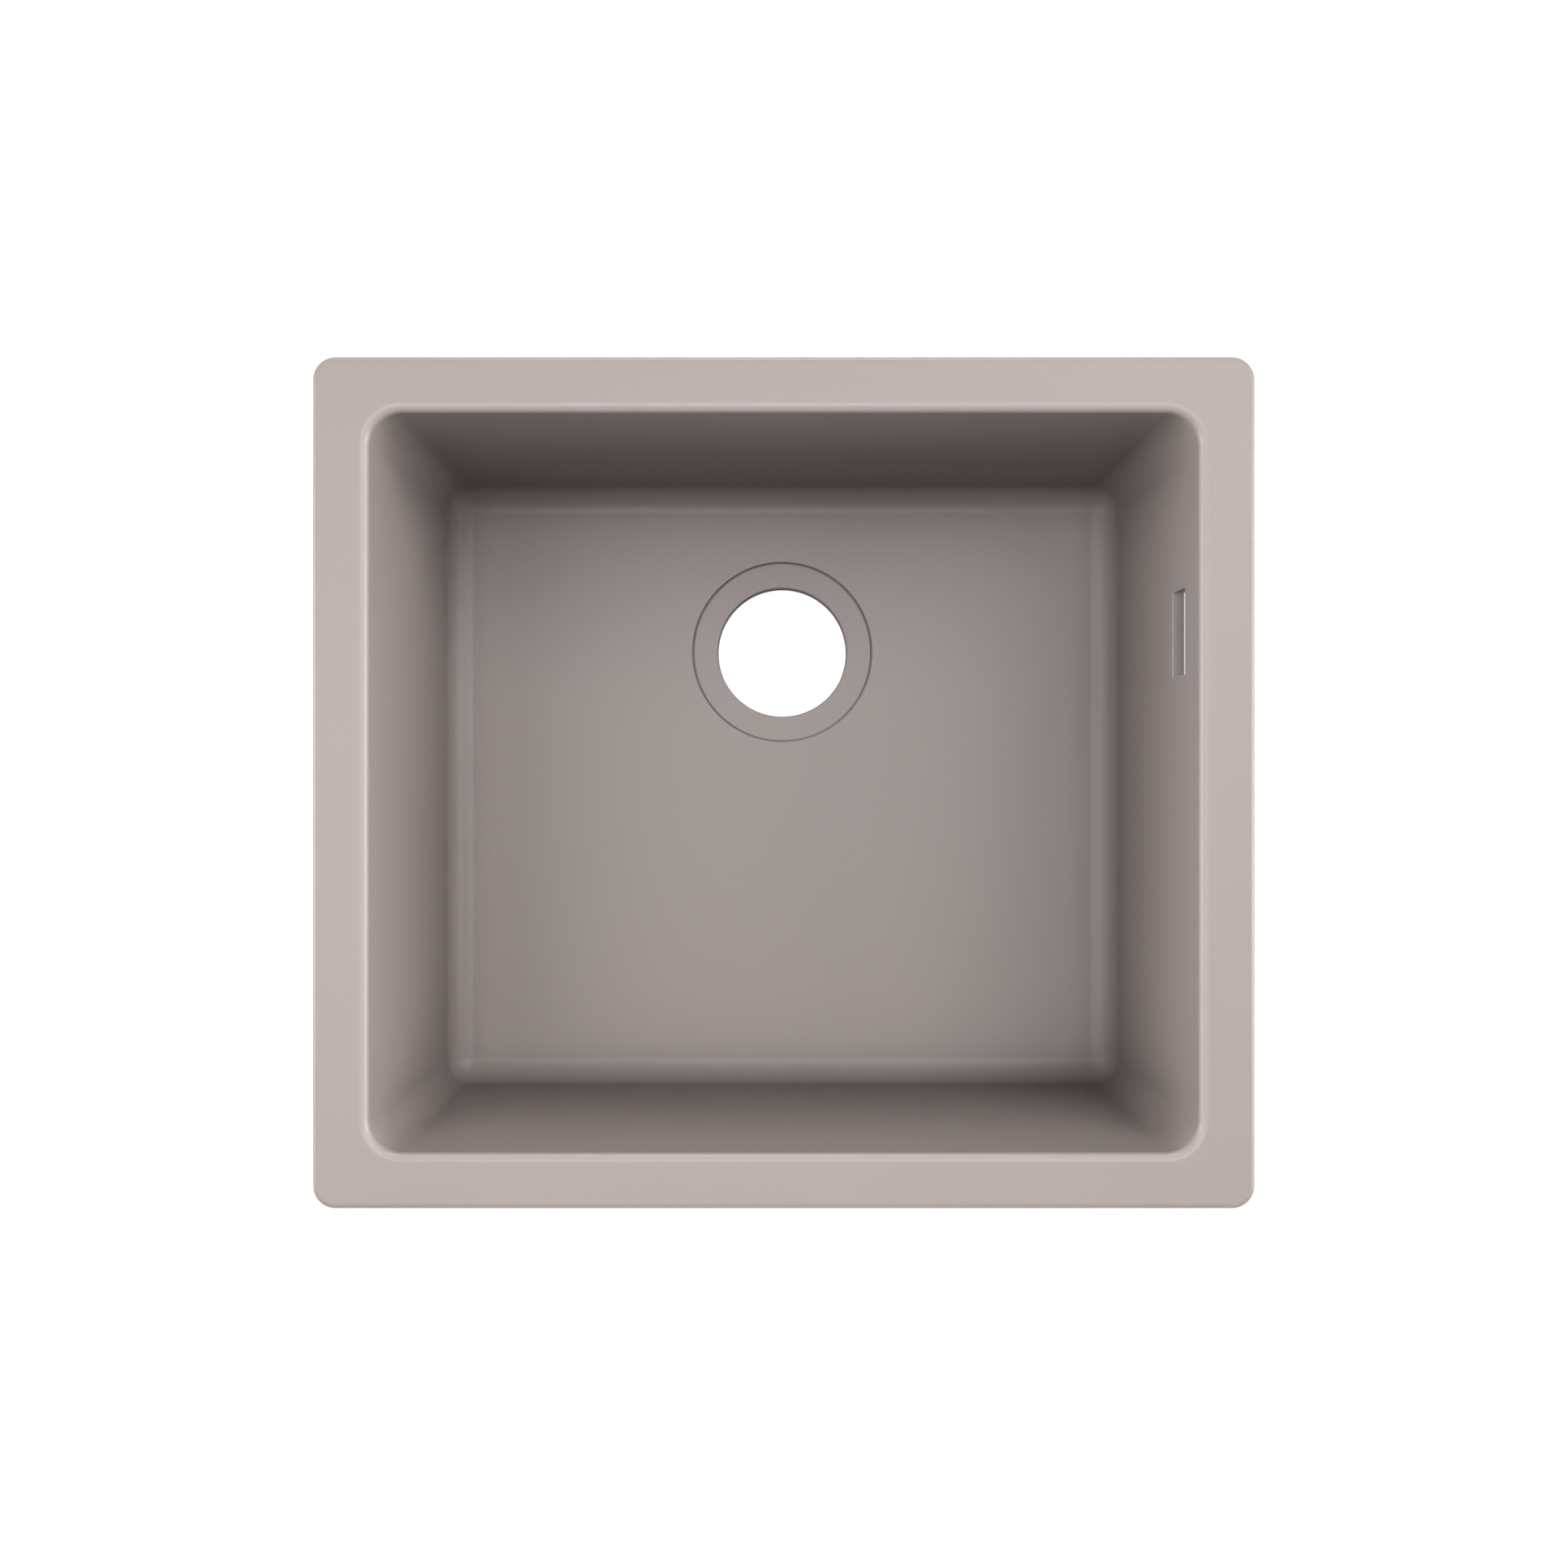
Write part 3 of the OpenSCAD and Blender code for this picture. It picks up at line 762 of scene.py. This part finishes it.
def lug_tree(net, size, points):
    """A flat plate with round ends and two holes, from its outline."""
    width, reach, thick = size["Width"], size["Reach"], size["Thickness"]
    outline = net.add("GeometryNodeCurvePrimitiveQuadrilateral", {}, {
        "Width": reach + width, "Height": width})
    outline = net.add("GeometryNodeFilletCurve", {"mode": "POLY"}, {
        "Curve": outline, "Count": END_STEPS, "Radius": width / 2 - END_SHORT})
    holes = []
    for side, radius in ((-0.5, size["Screw hole"]), (0.5, size["Worktop hole"])):
        hole = net.add("GeometryNodeCurvePrimitiveCircle", {}, {
            "Resolution": HOLE_SIDES, "Radius": radius})
        holes.append(net.add("GeometryNodeTransform", {}, {
            "Geometry": hole, "Translation": net.point(reach * side, 0.0, 0.0)}))
    outline = net.add("GeometryNodeJoinGeometry", {}, {"Geometry": [outline, *holes]})
    plate = net.add("GeometryNodeFillCurve", {"mode": "NGONS"}, {"Curve": outline})
    top = net.add("GeometryNodeExtrudeMesh", {"mode": "FACES"}, {
        "Mesh": plate, "Offset": net.point(0.0, 0.0, 1.0), "Offset Scale": thick,
        "Individual": False})
    under = net.add("GeometryNodeFlipFaces", {}, {"Mesh": plate})
    both = net.add("GeometryNodeJoinGeometry", {}, {"Geometry": [top, under]})
    both = net.add("GeometryNodeTransform", {}, {
        "Geometry": both, "Translation": net.point(reach / 2, 0.0, 0.0)})
    return net.add("GeometryNodeTransform", {}, {
        "Geometry": both, "Translation": net.point(size["Screw x"], size["Screw y"], size["Low"]),
        "Rotation": net.point(0.0, 0.0, size["Turn"])})


print(f"a lug's end has {2 * END_STEPS} steps, and a hole {HOLE_SIDES} sides")

# %% Ten lugs
SCREW_HOLE_R, WORKTOP_HOLE_R = 3.075 * MM, 3.3 * MM
LUG_EASING = 0.3 * MM

for joint in frame["joints"]:
    node, pivot = joint["child"], Vector(joint["pos_m"])
    low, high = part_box(node)
    across = [high.x - low.x, high.y - low.y]
    way = (low + high) / 2 - pivot
    lug = grow(node + "_plate", lug_tree, {
        "Width": min(across), "Reach": max(across) - min(across), "Thickness": high.z - low.z,
        "Screw hole": SCREW_HOLE_R, "Worktop hole": WORKTOP_HOLE_R, "Low": low.z,
        "Screw x": pivot.x, "Screw y": pivot.y, "Turn": math.atan2(way.y, way.x)}, zinc)
    place(finish_mesh(lug, LUG_EASING, 3), node, node, "lug_steel")

# %% [markdown]
# ## Inserts
# The brass inserts are moulded into the bosses, and only their ends can be seen from below. Drawing
# them again would add nothing that shows, so they keep their CAD shape and only get their metal.

# %% Brass inserts keep their CAD shape
inserts = frame["nodes"]["rim_inserts"]
inserts.data.materials.clear()
inserts.data.materials.append(brass)
print(inserts.name, "in", brass.name)

# %% [markdown]
# ## Studio floor
# The sink lies on plain white, with no shadow on it. In a studio the paper under an object is lit
# until it is pure white, but so much light from below would wash out the walls. So this paper has
# two surfaces: the camera sees one that glows, and the sink is lit by one that is pale grey. A
# Light Path node tells which kind of ray is asking.

# %% Floor
FLOOR_HALF, FLOOR_GAP = 3.0, 0.2 * MM
FLOOR_Z = BOSS_Z - FLOOR_GAP


def paper_surface(net, shade, glow):
    return net.add("ShaderNodeBsdfPrincipled", {}, {
        "Base Color": (shade, shade, shade, 1), "Roughness": 0.9, "Emission Color": (1, 1, 1, 1),
        "Emission Strength": glow, "Specular IOR Level": 0.0})


paper, net = new_material("white_floor")
by_camera = net.add("ShaderNodeLightPath", {}, {}, "Is Camera Ray")
surface = net.add("ShaderNodeMixShader", {}, {
    "Fac": by_camera, 1: paper_surface(net, 0.4, 0.0), 2: paper_surface(net, 0.15, 0.92)})
net.add("ShaderNodeOutputMaterial", {}, {"Surface": surface})

floor_mesh = bpy.data.meshes.new("studio_floor")
floor_mesh.from_pydata([(x * FLOOR_HALF, y * FLOOR_HALF, FLOOR_Z)
                        for x, y in ((-1, -1), (1, -1), (1, 1), (-1, 1))], [], [(0, 1, 2, 3)])
floor_mesh.materials.append(paper)
studio_floor = bpy.data.objects.new("studio_floor", floor_mesh)
scene.collection.objects.link(studio_floor)
print(f"floor {2 * FLOOR_HALF:.0f} m wide at {FLOOR_Z / MM:.1f} mm")

# %% [markdown]
# ## Light
# Large soft boxes light a sink in a studio, so that no edge throws a hard shadow. Area lights could
# stand in for them, but their light falls off with distance, and one side of the rim would come out
# brighter. A sun with a wide angle is as soft, and it is the same everywhere. Most of the light
# comes from high up, which leaves the steep walls darker than the floor, as in a deep bowl. Low
# lights on both sides pick out the rounded lips. The world beyond gives only a faint even light,
# but to the camera it is white, so that no horizon shows from the side.

# %% World
WORLD_LIGHT = 0.15

world = bpy.data.worlds.new("studio")
scene.world = world
world.use_nodes = True
background = world.node_tree.nodes["Background"]
background.inputs["Color"].default_value = (1, 1, 1, 1)
by_camera = Net(world.node_tree).add("ShaderNodeLightPath", {}, {}, "Is Camera Ray")
strength = WORLD_LIGHT + (1 - WORLD_LIGHT) * by_camera
world.node_tree.links.new(strength.socket, background.inputs["Strength"])
# The Standard view keeps white paper white, and a gamma under 1 deepens the shadows.
scene.view_settings.view_transform = "Standard"
scene.view_settings.gamma = 0.85
print(f"world light {WORLD_LIGHT}")

# %% Lights
def soft_sun(name, tilt, turn, angle, strength):
    """A distant soft light. tilt is from straight above, and turn is round from +X, in degrees."""
    light = bpy.data.lights.new(name, "SUN")
    light.energy, light.angle = strength, math.radians(angle)
    lamp = bpy.data.objects.new(name, light)
    tilt, turn = math.radians(tilt), math.radians(turn)
    towards = Vector((math.sin(tilt) * math.cos(turn), math.sin(tilt) * math.sin(turn),
                      math.cos(tilt)))
    lamp.rotation_euler = towards.to_track_quat("Z", "Y").to_euler()
    scene.collection.objects.link(lamp)


# name, tilt, turn, angle across the light, strength
LIGHTS = (
    ("overhead", 0, 0, 20, 0.95),
    ("upper_right", 30, 40, 34, 1.15),
    ("upper_left", 30, 180, 34, 0.98),
    ("middle_right", 60, 0, 34, 1.08),
    ("middle_left", 60, 180, 34, 0.48),
    ("low_right", 79, 0, 24, 2.55),
    ("low_left", 79, 180, 24, 2.4),
    ("low_back", 77, 90, 20, 1.6),
    ("low_front", 83, 270, 18, 0.65),
)
for light in LIGHTS:
    soft_sun(*light)
print(len(LIGHTS), "lights set")
